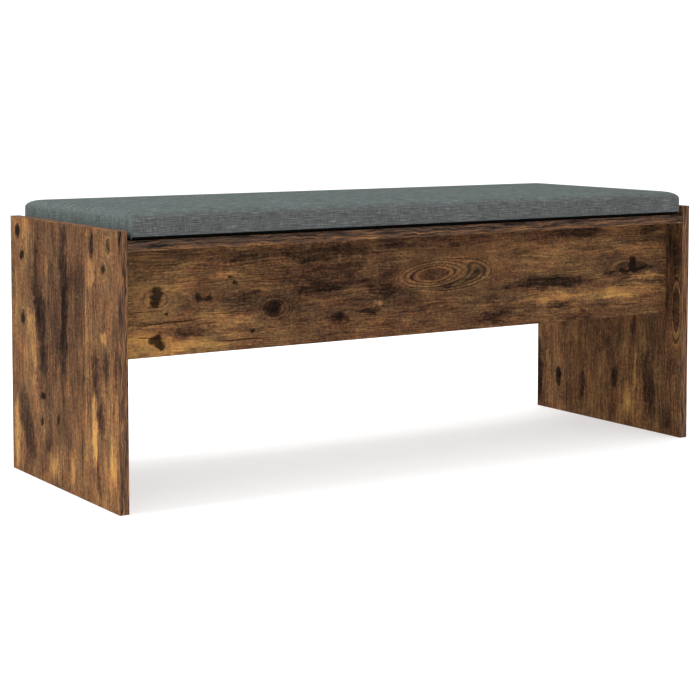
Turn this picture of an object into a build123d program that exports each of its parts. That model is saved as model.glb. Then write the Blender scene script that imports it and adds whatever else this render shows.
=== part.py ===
"""Storage bench: a box hung between two side panels, with a cushioned lid on three butt hinges.

Frame: millimetres, origin on the floor under the middle of the bench, +X along its length, +Y towards its back.
Every board is 15 mm melamine-faced chipboard with a 0.5 mm band on its open edges.
Each sub-part is one STEP file in parts/, named after the piece it holds.
"""
from build123d import *
import os

# ---- driving dimensions ----
LENGTH = 1100.0          # over both side panels
DEPTH = 400.0            # front edge to back edge of the side panels and of the lid
SIDE_HEIGHT = 410.0
BOARD = 15.0             # board thickness, bands included
BAND = 0.5               # edge band thickness
LID_TOP = 395.0          # the side panels stand 15 mm above the lid
LID_GAP = 1.0            # between the lid's end and a side panel
PANEL_SETBACK = 41.0     # front and back panel, from the side panels' edges: the finger grip
BOX_FLOOR = 218.5        # underside of the box
BUFFER = 0.9             # thickness of the buffers under the lid

# ---- cushion ----
CUSHION_LENGTH = 1057.0
CUSHION_DEPTH = 396.0
CUSHION_SHIFT = 1.5      # it lies a little to the right
CUSHION_TOP = 436.0
TAPE = 0.8               # one layer of hook or loop tape
TAPE_WIDTH = 20.0
TAPE_LENGTH = 300.0
TAPE_X = 300.0           # tape centres, from the middle
TAPE_Y = 140.0
BASE_THICK = 3.5
BASE_INSET = 2.0         # the base board stops short of the cover
COVER_THICK = 1.0
COVER_EDGE_R = 17.0      # rounding of the cushion's top edges
COVER_CORNER_R = 8.0     # rounding of its upright corners
FOAM_GAP = 0.1

# ---- knock-down fittings ----
DOWEL_R = 4.0
DOWEL_IN_SIDE = 11.0     # depth in the side panel
DOWEL_IN_PANEL = 18.0    # depth in the panel's end
CAM_R = 7.5
CAM_DEPTH = 12.5
CAM_FROM_END = 24.0
BOLT_R = 2.5
BOLT_COLLAR_R = 3.5
BOLT_COLLAR = 3.0
BOLT_IN_SIDE = 11.0
BOLT_HEAD = 3.0          # length of the ball that the cam pulls on
FIT = 0.05               # radial clearance of every round fit
CAM_MARGIN = 32.0        # cam centre from a panel's long edge
DOWEL_MARGIN = 64.0
BOTTOM_DOWEL_X = (-400.0, -133.0, 133.0, 400.0)
BOTTOM_DOWEL_LENGTH = 30.0
BOTTOM_DOWEL_IN_FACE = 11.0

# ---- hinges ----
HINGES = {"left": -400.0, "middle": 0.0, "right": 400.0}
LEAF = 1.2               # leaf thickness
LEAF_REACH = 26.0        # from the pin's axis to the leaf's free edge
HINGE_WIDTH = 60.0
KNUCKLES = 5
KNUCKLE_R = 2.5
KNUCKLE_SLIT = 0.3       # between neighbouring knuckles
PIN_R = 1.25
PIN_HEAD_R = 1.9
PIN_HEAD = 0.8
AXIS_OFFSET = 2.8        # pin axis from the back panel and from the lid's underside
SCREW_R = 1.75
SCREW_HEAD_R = 3.0
SCREW_LENGTH = 12.5
SCREW_X = (-20.0, 0.0, 20.0)
SCREW_FROM_AXIS = 16.0
CROSS = (2.6, 0.7, 0.6)  # cross recess: length, width, depth

# ---- buffers ----
BUFFER_R = 4.0
BUFFER_X = 480.0

# ---- worked out ----
SIDE_X = LENGTH / 2
INNER_X = SIDE_X - BOARD
FRONT_Y = -DEPTH / 2
LID_UNDER = LID_TOP - BOARD
PANEL_TOP = LID_UNDER - BUFFER - 0.1
FACE_Y = DEPTH / 2 - PANEL_SETBACK           # outer face of the back panel, and of the front one mirrored
INSIDE_Y = FACE_Y - BOARD
PANEL_Y = FACE_Y - BOARD / 2
FLOOR_Z = BOX_FLOOR + BOARD / 2
AXIS_Y = FACE_Y + AXIS_OFFSET
AXIS_Z = LID_UNDER - AXIS_OFFSET
BASE_BOTTOM = LID_TOP + 2 * TAPE
BASE_TOP = BASE_BOTTOM + BASE_THICK
KNUCKLE = HINGE_WIDTH / KNUCKLES

parts = {}


def block(x, y, z):
    """A box from three (low, high) pairs."""
    size = Box(x[1] - x[0], y[1] - y[0], z[1] - z[0])
    return Pos((x[0] + x[1]) / 2, (y[0] + y[1]) / 2, (z[0] + z[1]) / 2) * size


def rod(axis, radius, span, across):
    """A cylinder along "X", "Y" or "Z" over span, at the two other coordinates in across."""
    middle = (span[0] + span[1]) / 2
    body = Cylinder(radius, abs(span[1] - span[0]))
    if axis == "X":
        return Pos(middle, *across) * Rot(0, 90, 0) * body
    if axis == "Y":
        return Pos(across[0], middle, across[1]) * Rot(90, 0, 0) * body
    return Pos(*across, middle) * body


def keep(name, *solids):
    """Stores one node, which may be a group of separate solids."""
    parts[name] = solids[0] if len(solids) == 1 else Compound(children=list(solids))


def joined(solids):
    """One shape from several that touch."""
    whole = solids[0]
    for solid in solids[1:]:
        whole += solid
    return whole


def cut(shape, tools):
    """The shape with every tool taken away."""
    for tool in tools:
        shape -= tool
    return shape


def cross_recess(depth_sign):
    """A driver's cross at z 0, sunk towards depth_sign."""
    length, width, depth = CROSS
    z = sorted((0.0, depth_sign * depth))
    flat = block((-length / 2, length / 2), (-width / 2, width / 2), z)
    return flat + Rot(0, 0, 90) * flat


# ---- where the fittings sit ----
def end_fittings():
    """(panel, kind, y, z) of each fitting in a panel's end; the same at both ends."""
    low, high = BOX_FLOOR, PANEL_TOP
    for panel, y in (("front", -PANEL_Y), ("back", PANEL_Y)):
        for z in (low + CAM_MARGIN, high - CAM_MARGIN):
            yield panel, "cam", y, z
        for z in (low + DOWEL_MARGIN, high - DOWEL_MARGIN):
            yield panel, "dowel", y, z
    for sign in (-1, 1):
        yield "bottom", "cam", sign * (INSIDE_Y - CAM_MARGIN), FLOOR_Z
        yield "bottom", "dowel", sign * (INSIDE_Y - DOWEL_MARGIN), FLOOR_Z


def cam_body(panel, end, y, z, radius, depth):
    """The round cam housing or its pocket, let into the panel's hidden face."""
    x = end * (INNER_X - CAM_FROM_END)
    if panel == "front":
        return rod("Y", radius, (-INSIDE_Y - depth, -INSIDE_Y), (x, z))
    if panel == "back":
        return rod("Y", radius, (INSIDE_Y, INSIDE_Y + depth), (x, z))
    return rod("Z", radius, (BOX_FLOOR, BOX_FLOOR + depth), (x, y))


def cam_cross(panel, end, y, z):
    """The driver's cross in the cam's open face."""
    x = end * (INNER_X - CAM_FROM_END)
    if panel == "bottom":
        return Pos(x, y, BOX_FLOOR) * cross_recess(1)
    face = -INSIDE_Y if panel == "front" else INSIDE_Y
    return Pos(x, face, z) * Rot(90, 0, 0) * cross_recess(1 if panel == "front" else -1)


def bolt_bore(end, y, z):
    """The long bore from the panel's end into the cam's pocket."""
    return rod("X", BOLT_COLLAR_R + FIT, (end * (INNER_X - CAM_FROM_END), end * INNER_X), (y, z))


def cam_bolt(end, y, z):
    """Threaded end in the side panel, collar against it, neck and head reaching into the cam."""
    inner = end * INNER_X
    tip = end * (INNER_X - CAM_FROM_END + BOLT_HEAD / 2)
    return joined([
        rod("X", BOLT_R, (inner + end * BOLT_IN_SIDE, tip), (y, z)),
        rod("X", BOLT_COLLAR_R, (inner, inner - end * BOLT_COLLAR), (y, z)),
        rod("X", BOLT_COLLAR_R, (tip, tip + end * BOLT_HEAD), (y, z)),
    ])


def dowel(end, y, z, spare=0.0):
    """A dowel across the joint, or its bore when spare is given."""
    far = end * (INNER_X + DOWEL_IN_SIDE + spare)
    near = end * (INNER_X - DOWEL_IN_PANEL - spare)
    return rod("X", DOWEL_R + (FIT if spare else 0.0), (near, far), (y, z))


def bottom_dowel(side, x, spare=0.0):
    """A dowel from the front (side -1) or back (side 1) panel into the bottom panel's long edge."""
    far = side * (INSIDE_Y + BOTTOM_DOWEL_IN_FACE + spare)
    near = side * (INSIDE_Y + BOTTOM_DOWEL_IN_FACE - BOTTOM_DOWEL_LENGTH - spare)
    return rod("Y", DOWEL_R + (FIT if spare else 0.0), (near, far), (x, FLOOR_Z))


def end_cuts(panel):
    """Every bore and pocket in one panel's two ends."""
    for name, kind, y, z in end_fittings():
        if name != panel:
            continue
        for end in (-1, 1):
            if kind == "dowel":
                yield dowel(end, y, z, 0.5)
            else:
                yield cam_body(panel, end, y, z, CAM_R + FIT, CAM_DEPTH + 0.3)
                yield bolt_bore(end, y, z)


# ---- carcass ----
def make_side(name, end):
    """A side panel with its bores, and its band on the front, back and top edges."""
    x = sorted((end * SIDE_X, end * INNER_X))
    edge = DEPTH / 2 - BAND
    panel = block(x, (-edge, edge), (0, SIDE_HEIGHT - BAND))
    bores = []
    for _, kind, y, z in end_fittings():
        if kind == "dowel":
            bores.append(dowel(end, y, z, 0.5))
        else:
            inner = end * INNER_X
            bores.append(rod("X", BOLT_R + FIT, (inner, inner + end * (BOLT_IN_SIDE + 0.5)), (y, z)))
    keep(f"side_panel_{name}", cut(panel, bores))
    keep(
        f"side_edging_{name}",
        block(x, (-DEPTH / 2, -edge), (0, SIDE_HEIGHT)),
        block(x, (edge, DEPTH / 2), (0, SIDE_HEIGHT)),
        block(x, (-edge, edge), (SIDE_HEIGHT - BAND, SIDE_HEIGHT)),
    )


def make_upright(name, side):
    """The front (side -1) or back (side 1) panel of the box, and its band on the long edges."""
    y = sorted((side * FACE_Y, side * INSIDE_Y))
    x = (-INNER_X, INNER_X)
    panel = block(x, y, (BOX_FLOOR + BAND, PANEL_TOP - BAND))
    bores = list(end_cuts(name)) + [bottom_dowel(side, dx, 0.5) for dx in BOTTOM_DOWEL_X]
    if name == "back":
        bores += [screw_bore("panel", hx + dx) for hx in HINGES.values() for dx in SCREW_X]
    keep(f"{name}_panel", cut(panel, bores))
    keep(
        f"{name}_panel_edging",
        block(x, y, (BOX_FLOOR, BOX_FLOOR + BAND)),
        block(x, y, (PANEL_TOP - BAND, PANEL_TOP)),
    )


def make_bottom():
    """The bottom of the box, dowelled between the front and back panels."""
    panel = block((-INNER_X, INNER_X), (-INSIDE_Y, INSIDE_Y), (BOX_FLOOR, BOX_FLOOR + BOARD))
    dowels = [(side, x) for side in (-1, 1) for x in BOTTOM_DOWEL_X]
    keep("bottom_panel", cut(panel, list(end_cuts("bottom")) + [bottom_dowel(*d, 0.5) for d in dowels]))
    keep("bottom_dowels", *[bottom_dowel(*d) for d in dowels])


def make_fittings():
    """Dowels and cam bolts at each end, and the cams of each panel."""
    for name, end in (("left", -1), ("right", 1)):
        places = list(end_fittings())
        keep(f"dowels_{name}", *[dowel(end, y, z) for _, kind, y, z in places if kind == "dowel"])
        keep(f"cam_bolts_{name}", *[cam_bolt(end, y, z) for _, kind, y, z in places if kind == "cam"])
    for panel in ("front", "back", "bottom"):
        cams = []
        for name, kind, y, z in end_fittings():
            if name == panel and kind == "cam":
                for end in (-1, 1):
                    cam = cam_body(panel, end, y, z, CAM_R, CAM_DEPTH)
                    mouth = (end * (INNER_X - CAM_FROM_END - BOLT_HEAD), end * INNER_X)
                    throat = rod("X", BOLT_COLLAR_R + FIT, mouth, (y, z))
                    cams.append(cut(cam, [throat, cam_cross(panel, end, y, z)]))
        keep(f"{panel}_panel_cams", *cams)


def make_buffers():
    """Two soft buffers on the front panel's top edge."""
    z = (PANEL_TOP, PANEL_TOP + BUFFER)
    keep("lid_buffers", *[rod("Z", BUFFER_R, z, (x, -PANEL_Y)) for x in (-BUFFER_X, BUFFER_X)])


# ---- hinges ----
def on_panel(x):
    """Places a screw made along -Z so that it enters the back panel's rear face."""
    return Pos(x, FACE_Y + LEAF, AXIS_Z - SCREW_FROM_AXIS) * Rot(-90, 0, 0)


def on_lid(x):
    """Places a screw made along -Z so that it enters the lid's underside."""
    return Pos(x, AXIS_Y + SCREW_FROM_AXIS, LID_UNDER - LEAF) * Rot(180, 0, 0)


PLACES = {"panel": on_panel, "lid": on_lid}


def screw():
    """Countersunk screw along -Z with its head's face at z 0."""
    head = Pos(0, 0, -LEAF / 2) * Cone(SCREW_R, SCREW_HEAD_R, LEAF)
    shank = rod("Z", SCREW_R, (-SCREW_LENGTH, -LEAF), (0, 0))
    return head + shank - cross_recess(-1)


def screw_bore(where, x):
    """The screw's bore in the board."""
    return PLACES[where](x) * rod("Z", SCREW_R + FIT, (-SCREW_LENGTH - 0.5, 0), (0, 0))


def countersink(where, x):
    """The screw's countersunk hole in the leaf."""
    return PLACES[where](x) * Pos(0, 0, -LEAF / 2) * Cone(SCREW_R + FIT, SCREW_HEAD_R + FIT, LEAF)


def knuckle_span(hx, index):
    """Where one knuckle starts and ends along the pin."""
    start = hx - HINGE_WIDTH / 2 + index * KNUCKLE
    return start + KNUCKLE_SLIT / 2, start + KNUCKLE - KNUCKLE_SLIT / 2


def leaf(where, hx):
    """One leaf: a plate on its board, joined to its knuckles and cut away beside the other leaf's."""
    x = (hx - HINGE_WIDTH / 2, hx + HINGE_WIDTH / 2)
    clear = KNUCKLE_R + 0.4
    if where == "panel":
        plate = block(x, (FACE_Y, FACE_Y + LEAF), (AXIS_Z - LEAF_REACH, AXIS_Z))
        notch = ((FACE_Y - 1, FACE_Y + LEAF + 1), (AXIS_Z - clear, AXIS_Z + 1))
    else:
        plate = block(x, (AXIS_Y, AXIS_Y + LEAF_REACH), (LID_UNDER - LEAF, LID_UNDER))
        notch = ((AXIS_Y - 1, AXIS_Y + clear), (LID_UNDER - LEAF - 1, LID_UNDER + 1))
    mine = 0 if where == "panel" else 1
    for index in range(KNUCKLES):
        span = knuckle_span(hx, index)
        if index % 2 == mine:
            plate += rod("X", KNUCKLE_R, span, (AXIS_Y, AXIS_Z))
        else:
            plate -= block((span[0] - KNUCKLE_SLIT, span[1] + KNUCKLE_SLIT), *notch)
    bore = rod("X", PIN_R + FIT, (x[0] - 1, x[1] + 1), (AXIS_Y, AXIS_Z))
    return cut(plate, [bore] + [countersink(where, hx + dx) for dx in SCREW_X])


def hinge_pin(hx):
    """The hinge's pin, with a small head at each end."""
    half = HINGE_WIDTH / 2
    return joined([
        rod("X", PIN_R, (hx - half, hx + half), (AXIS_Y, AXIS_Z)),
        rod("X", PIN_HEAD_R, (hx - half - PIN_HEAD, hx - half), (AXIS_Y, AXIS_Z)),
        rod("X", PIN_HEAD_R, (hx + half, hx + half + PIN_HEAD), (AXIS_Y, AXIS_Z)),
    ])


def make_hinges():
    """Three butt hinges in the corner between back panel and lid, and their screws."""
    for name, hx in HINGES.items():
        keep(f"hinge_{name}_fixed_leaf", leaf("panel", hx))
        keep(f"hinge_{name}_moving_leaf", leaf("lid", hx))
        keep(f"hinge_{name}_pin", hinge_pin(hx))
    for where, place in PLACES.items():
        screws = [place(hx + dx) * screw() for hx in HINGES.values() for dx in SCREW_X]
        keep(f"hinge_screws_{where}", *screws)


# ---- lid and cushion ----
def make_lid():
    """The seat board and its band on all four edges."""
    half = INNER_X - LID_GAP
    edge = DEPTH / 2 - BAND
    z = (LID_UNDER, LID_TOP)
    board = block((-half + BAND, half - BAND), (-edge, edge), z)
    keep("lid_board", cut(board, [screw_bore("lid", hx + dx) for hx in HINGES.values() for dx in SCREW_X]))
    keep(
        "lid_edging",
        block((-half, half), (-DEPTH / 2, -edge), z),
        block((-half, half), (edge, DEPTH / 2), z),
        block((-half, -half + BAND), (-edge, edge), z),
        block((half - BAND, half), (-edge, edge), z),
    )


def pad(inset, low):
    """The cushion's rounded form, inset all round and at the top, from z = low."""
    half_x = CUSHION_LENGTH / 2 - inset
    half_y = CUSHION_DEPTH / 2 - inset
    x = (CUSHION_SHIFT - half_x, CUSHION_SHIFT + half_x)
    body = block(x, (-half_y, half_y), (low, CUSHION_TOP - inset))
    body = fillet(body.edges().filter_by(Axis.Z), COVER_CORNER_R - inset)
    return fillet(body.edges().group_by(Axis.Z)[-1], COVER_EDGE_R - inset)


def tapes(low):
    """Four strips of tape, one layer thick."""
    made = []
    for x in (CUSHION_SHIFT - TAPE_X, CUSHION_SHIFT + TAPE_X):
        for y in (-TAPE_Y, TAPE_Y):
            made.append(block(
                (x - TAPE_LENGTH / 2, x + TAPE_LENGTH / 2),
                (y - TAPE_WIDTH / 2, y + TAPE_WIDTH / 2),
                (low, low + TAPE),
            ))
    return made


def make_cushion():
    """Loop tape on the lid, hook tape on the base board, foam on the base, and the cover over it."""
    keep("loop_strips", *tapes(LID_TOP))
    keep("hook_strips", *tapes(LID_TOP + TAPE))
    half_x = CUSHION_LENGTH / 2 - BASE_INSET
    half_y = CUSHION_DEPTH / 2 - BASE_INSET
    x = (CUSHION_SHIFT - half_x, CUSHION_SHIFT + half_x)
    base = block(x, (-half_y, half_y), (BASE_BOTTOM, BASE_TOP))
    keep("cushion_base", fillet(base.edges().filter_by(Axis.Z), COVER_CORNER_R - BASE_INSET))
    keep("cushion_foam", pad(COVER_THICK + FOAM_GAP, BASE_TOP))
    keep("cushion_cover", pad(0.0, BASE_TOP) - pad(COVER_THICK, BASE_TOP - 1))


make_side("left", -1)
make_side("right", 1)
make_upright("front", -1)
make_upright("back", 1)
make_bottom()
make_fittings()
make_buffers()
make_hinges()
make_lid()
make_cushion()

os.makedirs("parts", exist_ok=True)
for node, shape in parts.items():
    export_step(shape, f"parts/{node}.step")
print(len(parts), "nodes; hinge axis at y", AXIS_Y, "z", AXIS_Z)
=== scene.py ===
# %% [markdown]
# # A hallway storage bench, looks only
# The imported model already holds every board, hinge and fitting at its real size. This lesson gives each
# board its printed wood decor, makes the cushion's cover as a piece of cloth, and sets up a small studio.
# The frame is loaded first, because sizes and places of pieces are read from it.

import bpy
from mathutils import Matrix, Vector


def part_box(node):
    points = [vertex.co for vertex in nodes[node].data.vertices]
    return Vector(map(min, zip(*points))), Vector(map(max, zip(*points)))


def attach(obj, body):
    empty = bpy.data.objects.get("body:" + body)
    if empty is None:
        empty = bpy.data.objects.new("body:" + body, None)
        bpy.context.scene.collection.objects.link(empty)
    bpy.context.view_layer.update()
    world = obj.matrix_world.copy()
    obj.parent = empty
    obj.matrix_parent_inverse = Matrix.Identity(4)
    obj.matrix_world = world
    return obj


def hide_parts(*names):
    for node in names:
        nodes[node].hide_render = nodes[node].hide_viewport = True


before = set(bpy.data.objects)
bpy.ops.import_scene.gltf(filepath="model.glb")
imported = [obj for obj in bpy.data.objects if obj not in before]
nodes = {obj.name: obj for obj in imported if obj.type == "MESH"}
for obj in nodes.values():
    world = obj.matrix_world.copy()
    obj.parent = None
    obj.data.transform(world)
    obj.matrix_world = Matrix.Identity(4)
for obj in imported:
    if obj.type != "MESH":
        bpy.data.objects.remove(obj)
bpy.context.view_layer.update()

# %% [markdown]
# ## Tools
# bmesh builds the cushion and the floor ring by ring. Everything in the frame is in metres, so MM turns a
# length in millimetres, which is how furniture is measured, into the scene's unit.

# %% Tools and the loaded nodes
import math
import random

import bmesh
import bpy
from mathutils import Vector

scene = bpy.context.scene
MM = 0.001


# %% [markdown]
# ## Four helpers
# Paint makers give colours as sRGB hex, while a shader wants linear light, so one function turns hex to
# linear. A second one adds any shader node: its properties are keywords, and its sockets take plain values
# or links. A third starts a material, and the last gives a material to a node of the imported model.

# %% Colour and node helpers
def linear(hex_colour):
    """An sRGB hex colour as the linear RGBA that shaders use."""
    channels = [int(hex_colour[i:i + 2], 16) / 255 for i in (1, 3, 5)]
    return tuple(c / 12.92 if c <= 0.04045 else ((c + 0.055) / 1.055) ** 2.4 for c in channels) + (1.0,)


def put(tree, kind, sockets=None, stops=None, **settings):
    """Adds one node. sockets maps an input to a value, a node or an output. stops are the places and hex
    colours of a ramp, its two ends first."""
    node = tree.nodes.new("ShaderNode" + kind)
    for name, value in settings.items():
        setattr(node, name, value)
    for socket, value in (sockets or {}).items():
        if isinstance(value, bpy.types.Node):
            value = value.outputs[0]
        if isinstance(value, bpy.types.NodeSocket):
            tree.links.new(value, node.inputs[socket])
        else:
            node.inputs[socket].default_value = value
    for i, (place, colour) in enumerate(stops or []):
        element = node.color_ramp.elements[i] if i < 2 else node.color_ramp.elements.new(place)
        element.position = place
        element.color = linear(colour)
    return node


def start_finish(name):
    """A new material, with its node tree and its shader."""
    material = bpy.data.materials.new(name)
    material.use_nodes = True
    tree = material.node_tree
    return material, tree, tree.nodes["Principled BSDF"]


def dress(node_name, material):
    """Gives a CAD node its material."""
    mesh = nodes[node_name].data
    mesh.materials.clear()
    mesh.materials.append(material)


print("an sRGB middle grey is", round(linear("#808080")[0], 3), "in linear light")

# %% [markdown]
# ## The boards: melamine with a printed reclaimed-wood decor
# The boards are chipboard with a paper decor pressed on under melamine resin, printed like old, smoke-stained
# planks. It gives the eye long streaks, dark smoked patches, knots, thin cracks and a satin, closed surface.
# An image would be the quick way. Here the decor is grown from noise instead. Two coordinates come in: Board,
# which is straight, for patches and specks, and Flow, which bends round the knots, for streaks, fibres and
# year rings. Each pattern lightens or darkens one tone, and a ramp turns the tone into wood colours. All
# lengths in the decor are in millimetres on the board.

# %% Sizes in the decor
STREAK = (110, 5.0)       # mm, length and width of the broad streaks
FIBRE = (16, 2.3)         # mm, fine grain lines; real ones are a third as wide, so these are drawn coarser
PATCH = (70, 40)          # mm, worn and smoked areas
MOTTLE = (5.5, 4)         # mm, specks of the print
SAW = (4, 34)             # mm, faint saw marks that run across the grain
RING_SPACING = 4.2        # mm between year rings in an eye
RING_SHAKE = 2.4          # mm that the print's specks shake a ring line
HAIR = (44, 1.7)          # mm, thin long lines between the fibres
print(f"streaks {STREAK[0]} mm long, fibres {FIBRE[0]} mm")

# %% [markdown]
# ### Grain noise, rings and torn areas
# Wood patterns are long along the grain and narrow across it, so noise is read on coordinates divided by a
# lump's length and width. Rings are a zigzag of the across coordinate. Smoked and worn areas are soft marks
# plus noise, cut off at a level, which tears their edges.

# %% Pattern helpers
def stretched(tree, place, size, detail, roughness, offset=0.0):
    """Noise whose lumps measure size mm along and across the board."""
    scale = (1 / size[0], 1 / size[1], 1)
    shift = (offset, offset, offset)
    scaled = put(tree, "VectorMath", {0: place, 1: scale, 2: shift}, operation="MULTIPLY_ADD")
    return put(tree, "TexNoise", {"Vector": scaled, "Scale": 1.0, "Detail": detail, "Roughness": roughness})


def year_rings(tree, flow, board, specks, eye):
    """Thin lines at even steps of the flow's across coordinate, strong inside an eye, faint elsewhere."""
    across = put(tree, "SeparateXYZ", {0: flow}).outputs["Y"]
    shaken = put(tree, "Math", {0: specks, 1: RING_SHAKE, 2: across}, operation="MULTIPLY_ADD")
    step = put(tree, "Math", {0: shaken, 1: RING_SHAKE / 2}, operation="SUBTRACT")
    step = put(tree, "Math", {0: step, 1: 1 / RING_SPACING}, operation="MULTIPLY")
    ring = put(tree, "Math", {0: step, 1: 0.5}, operation="PINGPONG")
    ring = put(tree, "MapRange", {"Value": ring, 1: 0.05, 2: 0.30, 3: -0.8, 4: 0.8},
               interpolation_type="SMOOTHSTEP")
    line_area = stretched(tree, board, (90, 30), 3.0, 0.6, 17.9)
    line_area = put(tree, "MapRange", {"Value": line_area, 1: 0.42, 2: 0.64, 3: 0.0, 4: 0.5},
                    interpolation_type="SMOOTHSTEP")
    line_area = put(tree, "Math", {0: line_area, 1: eye}, operation="MAXIMUM")
    return put(tree, "Math", {0: ring, 1: line_area}, operation="MULTIPLY")


def torn_area(tree, lumps, gain, bias, placed, full):
    """Placed marks and stray ones together, from 0 to 1, with the torn edges that noise gives."""
    area = put(tree, "Math", {0: lumps, 1: gain, 2: bias}, operation="MULTIPLY_ADD")
    area = put(tree, "Math", {0: placed, 1: 1.7, 2: area}, operation="MULTIPLY_ADD")
    return put(tree, "MapRange", {"Value": area, 1: 0.0, 2: full}, interpolation_type="SMOOTHSTEP")


print(f"a ring every {RING_SPACING} mm, shaken by {RING_SHAKE / 2} mm to each side")

# %% [markdown]
# ### The decor as one shader group
# A group keeps the pattern in one place for all boards, and each board brings its own coordinates and marks.
# The tone starts from a middle value, and each pattern is added by how much it may lighten or darken it.

# %% The decor group
def decor_group():
    """The wood pattern: flowing grain, worn patches, rings and marks, all added up as one tone."""
    tree = bpy.data.node_groups.new("reclaimed_wood_decor", "ShaderNodeTree")
    for name in ("Board", "Flow"):
        tree.interface.new_socket(name, in_out="INPUT", socket_type="NodeSocketVector")
    for name in ("Eye", "Zone", "Stain_and_shade", "Pale", "Knot", "Crack"):
        tree.interface.new_socket(name, in_out="INPUT", socket_type="NodeSocketFloat")
    tree.interface.new_socket("Colour", in_out="OUTPUT", socket_type="NodeSocketColor")
    tree.interface.new_socket("Height", in_out="OUTPUT", socket_type="NodeSocketFloat")
    tree.interface.new_socket("Roughness", in_out="OUTPUT", socket_type="NodeSocketFloat")
    given = tree.nodes.new("NodeGroupInput").outputs
    board, flow = given["Board"], given["Flow"]

    streak = stretched(tree, flow, STREAK, 5.0, 0.62)
    fibre = stretched(tree, flow, FIBRE, 3.0, 0.6)
    hair = stretched(tree, flow, HAIR, 2.0, 0.5, 4.4)
    patch = stretched(tree, board, PATCH, 6.0, 0.62)
    mottle = stretched(tree, board, MOTTLE, 4.0, 0.7)
    saw = stretched(tree, board, SAW, 2.0, 0.5)
    ring = year_rings(tree, flow, board, mottle, given["Eye"])
    torn = stretched(tree, board, (34, 20), 6.0, 0.66, 7.3)
    smoke_and_shade = torn_area(tree, torn, 2.6, -1.45, given["Stain_and_shade"], 1.2)
    scuff = stretched(tree, board, (40, 13), 5.0, 0.6, 3.1)
    worn = torn_area(tree, scuff, 2.4, -1.35, given["Pale"], 1.3)

    # Tone: a middle value, then each pattern by how much it may lighten or darken the board.
    tone = put(tree, "Math", {0: given["Zone"], 1: 0.1, 2: 0.36}, operation="MULTIPLY_ADD")
    grain = ((streak, 0.36), (fibre, 0.26), (hair, 0.26), (patch, 0.46), (mottle, 0.48), (saw, 0.08))
    for pattern, strength in grain:
        pattern = put(tree, "Math", {0: pattern, 1: 0.5}, operation="SUBTRACT")
        tone = put(tree, "Math", {0: pattern, 1: strength, 2: tone}, operation="MULTIPLY_ADD")
    for pattern, strength in ((ring, 0.10), (worn, 0.19), (smoke_and_shade, -0.17)):
        tone = put(tree, "Math", {0: pattern, 1: strength, 2: tone}, operation="MULTIPLY_ADD")
    wood = put(tree, "ValToRGB", {"Fac": tone}, stops=[
        (0.08, "#19120f"), (0.70, "#ba8a4f"), (0.22, "#3a2920"), (0.36, "#5d4331"), (0.50, "#846040")])
    blush = stretched(tree, board, (55, 24), 4.0, 0.6, 12.7)
    blush = put(tree, "ValToRGB", {"Fac": blush}, stops=[(0.38, "#fff4ea"), (0.62, "#f6fdf2")])
    wood = put(tree, "MixRGB", {"Fac": 1.0, "Color1": wood, "Color2": blush}, blend_type="MULTIPLY")

    # Knots and cracks are nearly black, the knots with a brown grain inside.
    knot_grain = put(tree, "ValToRGB", {"Fac": torn}, stops=[(0.42, "#070504"), (0.72, "#2a2018")])
    wood = put(tree, "MixRGB", {"Fac": given["Knot"], "Color1": wood, "Color2": knot_grain})
    wood = put(tree, "MixRGB", {"Fac": given["Crack"], "Color1": wood, "Color2": linear("#15100b")})

    # Height for the bump, as a share of its distance, and a roughness that follows the grain.
    dent = put(tree, "Math", {0: given["Crack"], 1: -1.2, 2: fibre}, operation="MULTIPLY_ADD")
    dent = put(tree, "Math", {0: given["Knot"], 1: -0.4, 2: dent}, operation="MULTIPLY_ADD")
    rough = put(tree, "MapRange", {"Value": fibre, 1: 0.3, 2: 0.7, 3: 0.50, 4: 0.64})
    out = tree.nodes.new("NodeGroupOutput")
    tree.links.new(wood.outputs[0], out.inputs["Colour"])
    tree.links.new(dent.outputs[0], out.inputs["Height"])
    tree.links.new(rough.outputs[0], out.inputs["Roughness"])
    return tree


DECOR = decor_group()
print(f"decor group with {len(DECOR.nodes)} nodes")

# %% [markdown]
# ### Marks on a board
# A printed decor repeats the same knots, eyes, smoked patches and cracks in places that a maker chooses. Each
# mark is an ellipse on the board: centre along and across the grain, half length, half width (all in mm),
# turn in degrees, strength. A Mapping node that undoes place, turn and size, followed by a spherical
# gradient, makes one soft ellipse, and a loop adds them up. Inside an eye the grain's across coordinate is
# swapped for the distance from the eye's middle, so that the year rings close into loops there.

# %% Ellipses and eyes
def on_ellipse(tree, place, along, across, half_long, half_wide, turn):
    """Coordinates in which an ellipse on the board is a circle of radius 1, right through the board."""
    return put(tree, "Mapping", {"Vector": place, "Location": (along, across, 0),
                                 "Rotation": (0, 0, math.radians(turn)),
                                 "Scale": (half_long, half_wide, 1e6)}, vector_type="TEXTURE")


def marks(tree, place, found):
    """The summed soft ellipses of one kind of mark, or 0 where a board has none."""
    total = None
    for *ellipse, strength in found:
        spot = on_ellipse(tree, place, *ellipse)
        soft = put(tree, "TexGradient", {"Vector": spot}, gradient_type="SPHERICAL")
        total = put(tree, "Math", {0: soft.outputs["Fac"], 1: strength, 2: total or 0.0},
                    operation="MULTIPLY_ADD")
    return total or 0.0


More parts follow.
